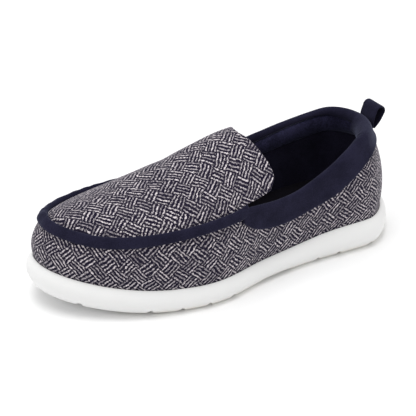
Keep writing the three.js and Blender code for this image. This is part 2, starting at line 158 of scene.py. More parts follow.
def rounding(s):
    """How far the outline has opened: a quarter circle at the heel, a squarer arc at the toe."""
    back = np.clip((HEEL_ROUND - s) / HEEL_ROUND, 0, 1)
    front = np.clip((s - 1 + TOE_ROUND) / TOE_ROUND, 0, 1)
    toe = np.maximum(0, 1 - front**TOE_SQUARENESS) ** (1 / TOE_SQUARENESS)
    return np.sqrt(1 - back * back) * toe


def outline(turn):
    """The sole's widest line: x from the station, y from the half-width times the rounding."""
    s = station(turn)
    half = np.where(outer_side(turn), through(SOLE_LINE, "outer", s), -through(SOLE_LINE, "inner", s))
    return (s - 0.5) * SOLE_LENGTH, sweep(s) + half * rounding(s)


def inset_line(turn, distance):
    """The widest line moved inwards at right angles to itself, with its outward direction."""
    reach = 1e-3
    x0, y0 = outline(turn - reach)
    x1, y1 = outline(turn + reach)
    x, y = outline(turn)
    length = np.hypot(x1 - x0, y1 - y0)
    out_x, out_y = -(y1 - y0) / length, (x1 - x0) / length
    return x - out_x * distance, y - out_y * distance, out_x, out_y


def spring(x):
    """The bottom's lift: the square of the way into the toe, and of the way into the heel's end."""
    toe = np.clip((share(x) - SPRING_START) / (1 - SPRING_START), 0, 1)
    heel = np.clip((HEEL_SPRING_END - share(x)) / HEEL_SPRING_END, 0, 1)
    return TOE_SPRING * toe**2 + HEEL_SPRING * heel**2


def feather(x):
    """The height of the lip, where the upper leaves the sole: the lift plus the side's height."""
    return spring(x) + through(SOLE_SIDE, "height", share(x))


def tread(x, depth=GROOVE_DEPTH):
    """The tread's height: the lift, plus a relief under the arch, plus a notch for each groove that
    falls off with the fourth power of the way from its middle."""
    s = share(x)
    arch = soft_step(PAD_REAR, PAD_REAR + 0.02, s) * (1 - soft_step(PAD_FRONT - 0.04, PAD_FRONT, s))
    notch = sum(np.exp(-(((s - g) * SOLE_LENGTH * 2 / GROOVE_WIDTH) ** 4)) for g in GROOVES)
    return spring(x) + ARCH_RISE * arch + depth * notch


# The outline's own axis is the middle of the last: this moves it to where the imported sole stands.
_, widest_y = outline(np.linspace(0, 1, 2001))
OFFSET = np.array([
    (SOLE_LOW[0] + SOLE_HIGH[0]) / 2,
    (SOLE_LOW[1] + SOLE_HIGH[1] - widest_y.min() - widest_y.max()) / 2,
    0.0,
])


def piece_from_grid(name, grid, material, around=False, cloth=None, solid=True):
    """Joins the points of a grid, rows by columns, into four-sided faces. Around closes each row on
    itself. Cloth gives each point its place on the flat cloth, in metres, as the piece's UV map."""
    index = np.arange(grid.shape[0] * grid.shape[1]).reshape(grid.shape[:2])
    if around:
        index = np.hstack([index, index[:, :1]])
    corners = [index[:-1, :-1], index[:-1, 1:], index[1:, 1:], index[1:, :-1]]
    mesh = bpy.data.meshes.new(name)
    mesh.from_pydata((grid.reshape(-1, 3) + OFFSET).tolist(), [], np.stack(corners, -1).reshape(-1, 4).tolist())
    if cloth is not None:
        flat = np.arange(cloth.shape[0] * cloth.shape[1]).reshape(cloth.shape[:2])
        ways = [flat[:-1, :-1], flat[:-1, 1:], flat[1:, 1:], flat[1:, :-1]]
        layer = mesh.uv_layers.new(name="cloth")
        layer.data.foreach_set("uv", cloth.reshape(-1, 2)[np.stack(ways, -1).reshape(-1)].ravel())
    tidy = bmesh.new()
    tidy.from_mesh(mesh)
    bmesh.ops.remove_doubles(tidy, verts=tidy.verts, dist=1e-6)
    bmesh.ops.dissolve_degenerate(tidy, edges=tidy.edges, dist=1e-7)
    if solid:
        bmesh.ops.recalc_face_normals(tidy, faces=tidy.faces)
    tidy.to_mesh(mesh)
    tidy.free()
    mesh.polygons.foreach_set("use_smooth", np.ones(len(mesh.polygons), bool))
    mesh.materials.append(material)
    piece = bpy.data.objects.new(name, mesh)
    bpy.context.scene.collection.objects.link(piece)
    return piece


def node(tree, kind, inputs=None, **settings):
    """Adds a shader node: settings are its own fields, and inputs its sockets' values or sources."""
    made = tree.nodes.new(kind)
    for field, value in settings.items():
        setattr(made, field, value)
    for socket, value in (inputs or {}).items():
        if isinstance(value, bpy.types.NodeSocket):
            tree.links.new(value, made.inputs[socket])
        else:
            made.inputs[socket].default_value = value
    return made


def new_material(name, **sockets):
    """A material with one Principled shader, whose even values are set on its own sockets."""
    material = bpy.data.materials.new(name)
    material.use_nodes = True
    shader = material.node_tree.nodes["Principled BSDF"]
    for socket, value in sockets.items():
        shader.inputs[socket.replace("_", " ")].default_value = value
    return material, material.node_tree, shader


def blend_colours(tree, factor, first, second):
    """The colour that is first where the factor is 0 and second where it is 1."""
    made = node(tree, "ShaderNodeMix", {0: factor, 6: first, 7: second}, data_type="RGBA")
    return made.outputs[2]


def ramp(tree, value, low, high, to_low=0.0, to_high=1.0):
    """A smooth step from one value to another as the input goes from low to high."""
    made = node(tree, "ShaderNodeMapRange", {0: value, 1: low, 2: high, 3: to_low, 4: to_high},
                interpolation_type="SMOOTHSTEP")
    return made.outputs[0]


def calculate(tree, operation, a, b=0.0):
    """One step of arithmetic on two values."""
    return node(tree, "ShaderNodeMath", {0: a, 1: b}, operation=operation).outputs[0]


def foam_material():
    """White foam: faintly creamy low down, with a fine moulded grain and slightly uneven gloss."""
    white = (0.78, 0.78, 0.775, 1)
    cream = (0.74, 0.72, 0.67, 1)
    material, tree, shader = new_material("foam", Roughness=0.55, Specular_IOR_Level=0.35)
    place = node(tree, "ShaderNodeTexCoord").outputs["Object"]
    height = node(tree, "ShaderNodeSeparateXYZ", {0: place}).outputs[2]
    cloud = node(tree, "ShaderNodeTexNoise", {"Vector": place, "Scale": 38.0, "Detail": 3.0}).outputs[0]
    low = calculate(tree, "ADD", height, calculate(tree, "MULTIPLY", cloud, 0.004))
    tree.links.new(blend_colours(tree, ramp(tree, low, 0.003, 0.0085), cream, white), shader.inputs["Base Color"])
    tree.links.new(ramp(tree, cloud, 0.3, 0.7, 0.5, 0.62), shader.inputs["Roughness"])
    grain = node(tree, "ShaderNodeTexNoise", {"Vector": place, "Scale": 1400.0, "Detail": 2.0}).outputs[0]
    skin = node(tree, "ShaderNodeTexNoise", {"Vector": place, "Scale": 120.0, "Detail": 2.0}).outputs[0]
    relief = calculate(tree, "ADD", calculate(tree, "MULTIPLY", grain, 0.35), skin)
    bump = node(tree, "ShaderNodeBump", {"Height": relief, "Strength": 0.12, "Distance": 0.0006})
    tree.links.new(bump.outputs[0], shader.inputs["Normal"])
    return material


def middle_line(turn, height):
    """The middle line of the foot bed, on which the inner rings fold flat."""
    s = mix(MIDDLE_START, MIDDLE_END, station(turn))
    x = (s - 0.5) * SOLE_LENGTH
    return np.stack([x, sweep(s), height(x)], -1)


def ring(turn, distance, height):
    """A line round the sole at a distance inside the widest one, at a height worked out from x."""
    x, y, _, _ = inset_line(turn, distance)
    return np.stack([x, y, height(x)], -1)


def towards_middle(edge, turn, height, steps):
    """Rings between an edge and the middle line, by equal steps, laid on the height."""
    rings = []
    for t in np.linspace(0, 1, steps + 1)[1:-1]:
        points = mix(edge, middle_line(turn, height), t)
        points[:, 2] = height(points[:, 0])
        rings.append(points)
    return rings


def sole_grid():
    """Rings from the middle of the tread out, up the convex side, over the lip and down into the
    recess to the middle of the foot bed. Where a groove runs out, the side starts above it."""
    turn = np.arange(1000) / 1000
    bed = lambda x: feather(x) - RECESS_DEPTH
    sides = []
    for t in np.linspace(0, 1, 26):
        up, inset = through(SIDE_SECTION, "up", t), through(SIDE_SECTION, "inset", t)
        height = lambda x: np.maximum(mix(spring(x), feather(x), up), tread(x, SIDE_NOTCH))
        sides.append(ring(turn, BULGE * inset, height))
    inner = BULGE + LIP_WIDTH
    lip = [
        ring(turn, BULGE + LIP_WIDTH * 0.6, lambda x: feather(x) - LIP_WIDTH * 0.1),
        ring(turn, inner, lambda x: feather(x) - LIP_WIDTH * 0.7),
        ring(turn, inner, bed),
    ]
    under = towards_middle(sides[0], turn, tread, 14)
    over = towards_middle(lip[2], turn, bed, 6)
    return np.array([middle_line(turn, tread), *under[::-1], *sides, *lip, *over, middle_line(turn, bed)])


sole = piece_from_grid("sole_foam", sole_grid(), foam_material(), around=True)
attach(sole, "root")
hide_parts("sole")


# Insole
# A soft foam board covered in dark brushed cloth, which lies loose on the foot bed inside the
# upper. It is dished a little for the heel and the ball of the foot.

GAP = 0.0003
WALL = 0.0026
INSOLE_THICKNESS = 0.006
INSOLE_EDGE = 0.0015
FOOT_INSET = BULGE + LIP_WIDTH + GAP
DISH = 0.0012


def brushed_material(name, dark, light, nap_size, sheen):
    """Brushed cloth: two close shades in soft clouds, a short uneven nap, and a sheen at the edges."""
    material, tree, shader = new_material(name, Roughness=0.95, Specular_IOR_Level=0.08, Sheen_Weight=sheen,
                                          Sheen_Roughness=0.4, Sheen_Tint=(0.5, 0.55, 0.8, 1))
    place = node(tree, "ShaderNodeTexCoord").outputs["Object"]
    cloud = node(tree, "ShaderNodeTexNoise", {"Vector": place, "Scale": 60.0, "Detail": 4.0,
                                              "Roughness": 0.6}).outputs[0]
    nap = node(tree, "ShaderNodeTexNoise", {"Vector": place, "Scale": nap_size, "Detail": 3.0,
                                            "Roughness": 0.65}).outputs[0]
    shade = calculate(tree, "ADD", calculate(tree, "MULTIPLY", cloud, 0.45), calculate(tree, "MULTIPLY", nap, 0.55))
    tree.links.new(blend_colours(tree, ramp(tree, shade, 0.36, 0.64), dark, light), shader.inputs["Base Color"])
    bump = node(tree, "ShaderNodeBump", {"Height": nap, "Strength": 0.5, "Distance": 0.0004})
    tree.links.new(bump.outputs[0], shader.inputs["Normal"])
    return material


def insole_grid():
    """Rings from the middle of the underside out, round the soft edge and back over the top, which
    is dished by a bump of cosine shape."""
    turn = np.arange(480) / 480
    bed = lambda x: feather(x) - RECESS_DEPTH + 2 * GAP
    top = lambda x: bed(x) + INSOLE_THICKNESS
    inset = FOOT_INSET + WALL + GAP
    bottom = ring(turn, inset, bed)
    side = ring(turn, inset, lambda x: top(x) - INSOLE_EDGE)
    round_off = ring(turn, inset + INSOLE_EDGE * 0.3, lambda x: top(x) - INSOLE_EDGE * 0.3)
    edge = ring(turn, inset + INSOLE_EDGE, top)
    over = towards_middle(edge, turn, top, 10)
    for i, points in enumerate(over):
        points[:, 2] -= DISH * (1 - math.cos(math.pi * (i + 1) / 10)) / 2
    middle = middle_line(turn, top)
    middle[:, 2] -= DISH
    return np.array([middle_line(turn, bed), bottom, side, round_off, edge, *over, middle])


BED_DARK = (0.0035, 0.0030, 0.0050, 1)
BED_LIGHT = (0.0065, 0.0055, 0.0090, 1)
bed_cloth = brushed_material("bed_cloth", BED_DARK, BED_LIGHT, 1500.0, 0.02)
insole = piece_from_grid("insole_pad", insole_grid(), bed_cloth, around=True)
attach(insole, "root")
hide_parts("insole")


# Tweed wall
# The lower half of the upper: one band of basket-woven wool tweed, glued to its foam and lining,
# pulled down over the last and joined behind the heel. It stands in the sole's recess.

WALL_BULGE = 0.003
SEAM_HEIGHT = 0.060
SEAM_INSET = 0.0105
COLLAR_HEIGHT = 0.091
THROAT_HEIGHT = 0.062
INSTEP_HEIGHT = 0.1045
CUFF_FRONT = 0.006
IN_RECESS = 0.1
ROLL_RISE = 0.0028

# Where the wall meets the vamp or ends at the collar: inset, lean and height, by place.
RIDGE = {
    "along": [0.00, 0.10, 0.20, 0.30, 0.40, 0.50, 0.60, 0.75, 0.88, 1.00],
    "outer": [3.20, 2.35, 1.57, 1.15, 0.95, 0.86, 1.00, 1.05, 1.24, 1.52],
    "inner": [3.20, 1.80, 0.87, 0.55, 0.50, 0.60, 0.75, 0.72, 0.80, 1.52],
    "lean": [2.2, 2.1, 1.9, 1.6, 1.6, 1.6, 1.6, 1.6, 1.6, 1.6],
    "height": [1.18 * COLLAR_HEIGHT, 1.16 * COLLAR_HEIGHT, 1.12 * COLLAR_HEIGHT, 1.00 * COLLAR_HEIGHT,
               1.25 * SEAM_HEIGHT, 1.08 * SEAM_HEIGHT, 1.065 * SEAM_HEIGHT, 1.01 * SEAM_HEIGHT,
               0.98 * SEAM_HEIGHT, 1.045 * SEAM_HEIGHT],
}

# The top line of the vamp: its sway to the inner side, its height, and how full each side is.
SPINE = {
    "along": [0.00, 0.30, 0.42, 0.50, 0.58, 0.68, 0.78, 0.86, 0.92],
    "sway": [0.00, 0.17, 0.24, 0.30, 0.35, 0.41, 0.55, 0.72, 0.84],
    "height": [1.120, 1.045, 1.015, 0.985, 0.915, 0.820, 0.732, 0.675, 0.634],
    "outer": [2.3, 2.3, 2.3, 2.3, 2.2, 2.1, 2.0, 2.0, 2.0],
    "inner": [2.3, 2.3, 2.3, 2.2, 2.0, 1.8, 1.6, 1.6, 1.6],
}

# The height of the opening's edge on each side.
RIM = {
    "along": [0.00, 0.10, 0.15, 0.20, 0.25, 0.30, 0.36, 0.42, 0.50, 0.55],
    "outer": [COLLAR_HEIGHT, 1.005 * COLLAR_HEIGHT, 0.990 * COLLAR_HEIGHT, 0.925 * COLLAR_HEIGHT,
              0.840 * COLLAR_HEIGHT, 0.770 * COLLAR_HEIGHT, 1.035 * THROAT_HEIGHT, THROAT_HEIGHT,
              1.030 * THROAT_HEIGHT, 1.080 * THROAT_HEIGHT],
    "inner": [COLLAR_HEIGHT, 0.990 * COLLAR_HEIGHT, 0.965 * COLLAR_HEIGHT, 0.925 * COLLAR_HEIGHT,
              0.885 * COLLAR_HEIGHT, 0.845 * COLLAR_HEIGHT, 1.180 * THROAT_HEIGHT, 1.100 * THROAT_HEIGHT,
              1.050 * THROAT_HEIGHT, 1.080 * THROAT_HEIGHT],
}

# Soft dents of the wall, one by one: x, height, length and width of each, its tilt, and depth.
WALL_DENTS = [
    {"x": 0.066, "z": 0.043, "long": 0.020, "wide": 0.007, "tilt": 1.1, "deep": 0.0010, "outer": True},
    {"x": 0.022, "z": 0.040, "long": 0.018, "wide": 0.008, "tilt": 1.9, "deep": 0.0010, "outer": True},
    {"x": -0.052, "z": 0.036, "long": 0.024, "wide": 0.007, "tilt": 0.3, "deep": 0.0008, "outer": True},
    {"x": -0.118, "z": 0.052, "long": 0.016, "wide": 0.008, "tilt": 1.4, "deep": 0.0009, "outer": True},
    {"x": 0.050, "z": 0.042, "long": 0.022, "wide": 0.008, "tilt": 1.8, "deep": 0.0010, "outer": False},
    {"x": -0.020, "z": 0.040, "long": 0.024, "wide": 0.008, "tilt": 0.4, "deep": 0.0009, "outer": False},
    {"x": -0.100, "z": 0.050, "long": 0.018, "wide": 0.008, "tilt": 1.6, "deep": 0.0008, "outer": False},
]


def by_side(table, turn, at):
    """A table's outer or inner column, by the side that the turn is on."""
    return np.where(outer_side(turn), through(table, "outer", at), through(table, "inner", at))


def spine(s):
    """The vamp's top line for a station: x by an even blend, y by the sway, z by the height."""
    at = mix(MIDDLE_START, MIDDLE_END, s)
    x = (at - 0.5) * SOLE_LENGTH
    return x, -TOE_SWEEP * through(SPINE, "sway", at), INSTEP_HEIGHT * through(SPINE, "height", at)


def ridge(turn):
    """The line where the wall ends, inset from the widest line."""
    s = station(turn)
    x, y, _, _ = inset_line(turn, SEAM_INSET * by_side(RIDGE, turn, s))
    return x, y, through(RIDGE, "height", s)


def upper_point(turn, level):
    """The upper's outer surface. Level 0 to a tenth stands straight in the recess. From there to 1
    the wall goes to the ridge by a power of the way up, plus a parabola for its belly. From 1 to 2
    it goes straight to the top line in plan and rises by one minus a power of what is left."""
    turn, level = np.broadcast_arrays(turn, level)
    s = station(turn)
    foot_x, foot_y, out_x, out_y = inset_line(turn, FOOT_INSET)
    ridge_x, ridge_y, ridge_z = ridge(turn)
    lip_z = feather(foot_x)
    up = np.clip((level - IN_RECESS) / (1 - IN_RECESS), 0, 1)
    lean = up ** through(RIDGE, "lean", s)
    belly = WALL_BULGE * 4 * up * (1 - up)
    low = np.clip(level / IN_RECESS, 0, 1)
    wall_z = np.where(level < IN_RECESS, mix(lip_z - RECESS_DEPTH + GAP, lip_z, low), mix(lip_z, ridge_z, up))
    over = np.clip(level - 1, 0, 1)
    top_x, top_y, top_z = spine(s)
    rise = 1 - (1 - over) ** by_side(SPINE, turn, mix(MIDDLE_START, MIDDLE_END, s))
    x = mix(mix(foot_x, ridge_x, lean) + out_x * belly, top_x, over)
    y = mix(mix(foot_y, ridge_y, lean) + out_y * belly, top_y, over)
    return np.stack([x, y, mix(wall_z, top_z, rise)], -1)


def surface_normal(turn, level):
    """The outward direction: the cross product of the steps up and round the surface."""
    near = np.clip(level, 0.02, 1.96)
    around = upper_point(turn + 2e-3, near) - upper_point(turn - 2e-3, near)
    upward = upper_point(turn, near + 0.02) - upper_point(turn, near - 0.02)
    normal = np.cross(upward, around)
    return normal / np.linalg.norm(normal, axis=-1, keepdims=True)


def shell_point(turn, level, distance):
    """The surface moved outwards by a distance."""
    turn, level, distance = np.broadcast_arrays(turn, level, distance)
    return upper_point(turn, level) + surface_normal(turn, level) * distance[..., None]


def level_at(turn, height):
    """The level at which the surface reaches a height, found by halving."""
    low, high = np.zeros(np.shape(turn)), np.full(np.shape(turn), 2.0)
    for _ in range(26):
        middle = (low + high) / 2
        below = upper_point(turn, middle)[..., 2] < height
        low, high = np.where(below, middle, low), np.where(below, high, middle)
    return low


def rim_height(turn, x):
    """The height of the opening's edge at an x on the turn's side."""
    return by_side(RIM, turn, share(x))


def rim_level(turn, drop):
    """The level of the line that lies a drop below the opening's edge."""
    x = upper_point(turn, 0.7)[..., 0]
    return level_at(turn, rim_height(turn, x) - drop)


def dent_depth(points, dents, outer):
    """The sum of the dents: each is a bell curve along its own tilted length and width."""
    depth = np.zeros(points.shape[:-1])
    for dent in dents:
        dx, dz = points[..., 0] - dent["x"], points[..., 2] - dent["z"]
        along = dx * math.cos(dent["tilt"]) + dz * math.sin(dent["tilt"])
        across = dz * math.cos(dent["tilt"]) - dx * math.sin(dent["tilt"])
        bell = np.exp(-((along / dent["long"]) ** 2) - (across / dent["wide"]) ** 2)
        depth += np.where(outer == dent["outer"], dent["deep"] * bell, 0)
    return depth


YARN_LIGHT = (0.80, 0.73, 0.76, 1)
YARN_GREY = (0.112, 0.096, 0.126, 1)
YARN_DARK = (0.0046, 0.0033, 0.0140, 1)
YARN_NAVY = (0.0165, 0.0125, 0.039, 1)
BLOCK_SIZE = 0.0106
STRIPES = 4


def tweed_material():
    """Basket-woven tweed on the flat cloth, turned by 45 degrees: square blocks of four pale slubby
    yarns on dark navy, each block at right angles to its neighbours. The yarn's place in its block
    gives its colour, its height and a twist, and noise makes it thick, thin, hairy and worn."""
    material, tree, shader = new_material("tweed", Roughness=0.9, Specular_IOR_Level=0.15, Sheen_Weight=0.40,
                                          Sheen_Roughness=0.28, Sheen_Tint=(0.85, 0.82, 0.9, 1))
    flat = node(tree, "ShaderNodeUVMap", uv_map="cloth").outputs[0]
    pushed = flat
    for scale, reach in [(70.0, 0.0050), (420.0, 0.0009)]:
        wander = node(tree, "ShaderNodeTexNoise", {"Vector": flat, "Scale": scale, "Detail": 2.0}).outputs[1]
        shift = node(tree, "ShaderNodeVectorMath", {0: wander, 1: (0.5, 0.5, 0.5)}, operation="SUBTRACT").outputs[0]
        pushed = node(tree, "ShaderNodeVectorMath", {0: shift, 1: (reach, reach, 0), 2: pushed},
                      operation="MULTIPLY_ADD").outputs[0]
    turned = node(tree, "ShaderNodeMapping", {"Vector": pushed, "Rotation": (0, 0, math.radians(45)),
                                              "Scale": (1 / BLOCK_SIZE, 1 / BLOCK_SIZE, 1)}).outputs[0]
    parts = node(tree, "ShaderNodeSeparateXYZ", {0: turned})
    u, v = parts.outputs[0], parts.outputs[1]
    count_u, count_v = calculate(tree, "FLOOR", u), calculate(tree, "FLOOR", v)
    turn = calculate(tree, "FLOORED_MODULO", calculate(tree, "ADD", count_u, count_v), 2.0)
    part_u, part_v = calculate(tree, "FRACT", u), calculate(tree, "FRACT", v)
    across = node(tree, "ShaderNodeMix", {0: turn, 2: part_u, 3: part_v}).outputs[0]
    along = node(tree, "ShaderNodeMix", {0: turn, 2: part_v, 3: part_u}).outputs[0]
    yarns = calculate(tree, "MULTIPLY", across, float(STRIPES))
    ripple = calculate(tree, "SUBTRACT", calculate(tree, "FRACT", yarns), 0.5)
    centre = calculate(tree, "SUBTRACT", 1.0, calculate(tree, "MULTIPLY", calculate(tree, "ABSOLUTE", ripple), 2.0))
    rest = calculate(tree, "SUBTRACT", 1.0, along)
    near_end = calculate(tree, "MINIMUM", along, rest)

    # Each yarn has its own shade, and slubs run along it.
    yarn_name = node(tree, "ShaderNodeCombineXYZ", {0: count_u, 1: count_v,
                                                    2: calculate(tree, "FLOOR", yarns)}).outputs[0]
    own_shade = node(tree, "ShaderNodeTexWhiteNoise", {0: yarn_name}).outputs[0]
    slub = node(tree, "ShaderNodeTexNoise", {"Vector": flat, "Scale": 620.0, "Detail": 3.0,
                                             "Roughness": 0.7}).outputs[0]
    hair = node(tree, "ShaderNodeTexNoise", {"Vector": flat, "Scale": 2300.0, "Detail": 2.0}).outputs[0]
    worn = node(tree, "ShaderNodeTexNoise", {"Vector": flat, "Scale": 55.0, "Detail": 2.0}).outputs[0]
    thick = calculate(tree, "ADD", centre, calculate(tree, "MULTIPLY", calculate(tree, "SUBTRACT", slub, 0.5), 2.4))
    thick = calculate(tree, "ADD", thick, calculate(tree, "MULTIPLY", calculate(tree, "SUBTRACT", hair, 0.5), 1.2))
    pale = calculate(tree, "MULTIPLY", ramp(tree, thick, 0.57, 0.86), ramp(tree, near_end, 0.0, 0.06, 0.35, 1.0))

    # The yarn's twist shows as short slanted marks.
    slant = calculate(tree, "ADD", calculate(tree, "MULTIPLY", along, 11.0), yarns)
    twist = calculate(tree, "SINE", calculate(tree, "MULTIPLY", slant, 2 * math.pi))
    twisted = calculate(tree, "ADD", calculate(tree, "MULTIPLY", twist, 0.12), slub)
    light = blend_colours(tree, ramp(tree, twisted, 0.25, 0.62), YARN_GREY, YARN_LIGHT)
    shaded = blend_colours(tree, ramp(tree, own_shade, 0.2, 1.0, 0.0, 0.6), light, YARN_GREY)
    fleck = node(tree, "ShaderNodeTexNoise", {"Vector": flat, "Scale": 1150.0, "Detail": 1.0}).outputs[0]
    dark = blend_colours(tree, ramp(tree, hair, 0.45, 0.75), YARN_DARK, YARN_NAVY)
    dark = blend_colours(tree, ramp(tree, fleck, 0.63, 0.76), dark, YARN_GREY)
    cloth = blend_colours(tree, pale, dark, shaded)
    tree.links.new(blend_colours(tree, ramp(tree, worn, 0.35, 0.7, 0.0, 0.04), cloth, YARN_GREY),
                   shader.inputs["Base Color"])
    height = calculate(tree, "ADD", calculate(tree, "MULTIPLY", pale, 0.8), calculate(tree, "MULTIPLY", twisted, 0.3))
    height = calculate(tree, "ADD", height, calculate(tree, "MULTIPLY", hair, 0.35))
    bump = node(tree, "ShaderNodeBump", {"Height": height, "Strength": 0.75, "Distance": 0.0006})
    tree.links.new(bump.outputs[0], shader.inputs["Normal"])
    return material


def add_wall(piece, thickness, inside, round_off):
    """Gives a sheet of cloth its wall, inwards, with the lining's material on the inside."""
    piece.data.materials.append(inside)
    solidify = piece.modifiers.new("wall", "SOLIDIFY")
    solidify.thickness = thickness
    solidify.offset = -1
    solidify.use_even_offset = False
    solidify.material_offset = 1
    if round_off:
        soften = piece.modifiers.new("soften", "SUBSURF")
        soften.levels = soften.render_levels = 1


LINING_DARK = (0.0085, 0.0075, 0.0155, 1)
LINING_LIGHT = (0.0210, 0.0190, 0.0400, 1)
lining_cloth = brushed_material("lining_cloth", LINING_DARK, LINING_LIGHT, 1500.0, 0.15)


def wall_grid():
    """Rows from the wall's top to its foot, over evenly spaced turns. The top follows the opening's
    edge at the back and the ridge under the seam strip in front."""
    turn = np.arange(900) / 900
    s = station(turn)
    edge = rim_level(turn, ROLL_RISE)
    front = soft_step(0.47, 0.56, s)
    top = mix(np.minimum(edge, 1.06), 1.0, front)
    level = 0.012 + (top - 0.012) * np.linspace(0, 1, 44)[:, None] ** 0.9
    around = np.broadcast_to(turn, level.shape)
    points = upper_point(around, level)
    normal = surface_normal(around, level)
    dents = dent_depth(points, WALL_DENTS, outer_side(around))
    points -= normal * dents[..., None]
    steps = np.linalg.norm(np.diff(points[10], axis=0, append=points[10][:1]), axis=1)
    length = np.concatenate([[0], np.cumsum(steps)])
    rise = np.concatenate([np.zeros((1, len(turn))), np.cumsum(np.linalg.norm(np.diff(points, axis=0), axis=-1), 0)])
    rise = np.hstack([rise, rise[:, :1]])
    return points[::-1], np.stack([np.broadcast_to(length, rise.shape), rise], -1)[::-1]


tweed = tweed_material()
wall_points, wall_cloth = wall_grid()
wall = piece_from_grid("tweed_wall", wall_points, tweed, around=True, cloth=wall_cloth, solid=False)
add_wall(wall, WALL - 0.0002, lining_cloth, round_off=False)
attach(wall, "root")
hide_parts("upper")


# Tweed vamp
# The top panel, cut from the same cloth, sewn edge to edge with the wall under the seam strip. Its
# rear end is a round tab over the instep, with the cloth turned over a soft edge.

TAB_REACH = 0.027
TAB_SKEW = 0.1
VAMP_FRONT = 0.0006
PUCKER_DEPTH = 0.00028
PUCKER_PITCH = 0.0085
TAB_PUFF = 0.0006
TAB_BEND = {"outer": 0.0022, "inner": 0.0040}
TUCK_DEPTH = 0.0034
TUCK_REACH = 0.0031

# The tab's rear edge, as shares of its reach, by the way from its middle to its side.
TAB_EDGE = {
    "along": [0.00, 0.13, 0.26, 0.51, 0.68, 0.80, 0.93, 1.02, 1.10],
    "reach": [0.61, 0.63, 0.70, 0.80, 0.88, 0.95, 1.02, 1.01, 0.84],
}

# The tab's sides: half-width by x, as they spread towards the throat.
TAB_SIDE = {
    "along": [-0.024, -0.018, -0.011, -0.003, 0.002, 0.006, 0.010],
    "half": [0.0370, 0.0383, 0.0394, 0.0409, 0.0425, 0.0490, 0.0600],
}

VAMP_DENTS = [
    {"x": 0.060, "y": 0.012, "long": 0.030, "wide": 0.008, "tilt": 1.5, "deep": 0.0011},
    {"x": 0.036, "y": -0.020, "long": 0.022, "wide": 0.008, "tilt": 1.8, "deep": 0.0010},
    {"x": 0.088, "y": -0.014, "long": 0.020, "wide": 0.007, "tilt": 1.2, "deep": 0.0009},
    {"x": 0.012, "y": 0.022, "long": 0.020, "wide": 0.010, "tilt": 0.4, "deep": 0.0008},
]


def crown_at(x, y):
    """The height of the vamp over a point of the plan. Straight lines run in plan from the ridge to
    the top line, one for each station: the one through the point is found by halving, and the
    way along it gives the height as in upper_point."""
    middle_y = np.interp(x, *spine(np.linspace(0, 1, 400))[:2])
    outer = y > middle_y
    low, high = np.zeros(x.shape), np.ones(x.shape)
    for _ in range(24):
        s = (low + high) / 2
        turn = np.arccos(1 - 2 * s) / (2 * np.pi)
        ridge_x, ridge_y, _ = ridge(np.where(outer, turn, 1 - turn))
        top_x, top_y, _ = spine(s)
        side = (top_x - ridge_x) * (y - ridge_y) - (top_y - ridge_y) * (x - ridge_x)
        ahead = np.where(outer, side > 0, side < 0)
        low, high = np.where(ahead, s, low), np.where(ahead, high, s)
    s = (low + high) / 2
    turn = np.arccos(1 - 2 * s) / (2 * np.pi)
    turn = np.where(outer, turn, 1 - turn)
    ridge_x, ridge_y, ridge_z = ridge(turn)
    top_x, top_y, top_z = spine(s)
    run_x, run_y = top_x - ridge_x, top_y - ridge_y
    way = np.clip(((x - ridge_x) * run_x + (y - ridge_y) * run_y) / (run_x**2 + run_y**2), 0, 1)
    fullness = by_side(SPINE, turn, mix(MIDDLE_START, MIDDLE_END, s))
    return mix(ridge_z, top_z, 1 - (1 - way) ** fullness)


def vamp_plan(rows, columns):
    """The vamp in plan. Each column runs from the toe to the tab's edge, and its y is a share of the
    way between the sides: the ridge lines in front of the throat, and the tab's sides behind it."""
    around = np.linspace(0, 0.5, 1500)
    outer_x, outer_y, _ = ridge(around)
    inner_x, inner_y, _ = ridge(1 - around)
    front = min(outer_x.max(), inner_x.max()) - VAMP_FRONT
    a = np.sin(np.linspace(-1, 1, columns) * np.pi / 2 * 0.86) / math.sin(math.pi / 2 * 0.86)
    rear = -TAB_REACH * through(TAB_EDGE, "reach", np.abs(a + TAB_SKEW))
    b = np.linspace(0, 1, rows)[:, None]
    x = mix(front, rear, mix(b, 1 - np.cos(b * np.pi / 2), 0.35))
    tab = through(TAB_SIDE, "half", x)
    left = np.minimum(np.interp(x, outer_x, outer_y), tab)
    right = np.maximum(np.interp(x, inner_x, inner_y), -tab)
    return x, mix(right, left, (a + 1) / 2), a, b


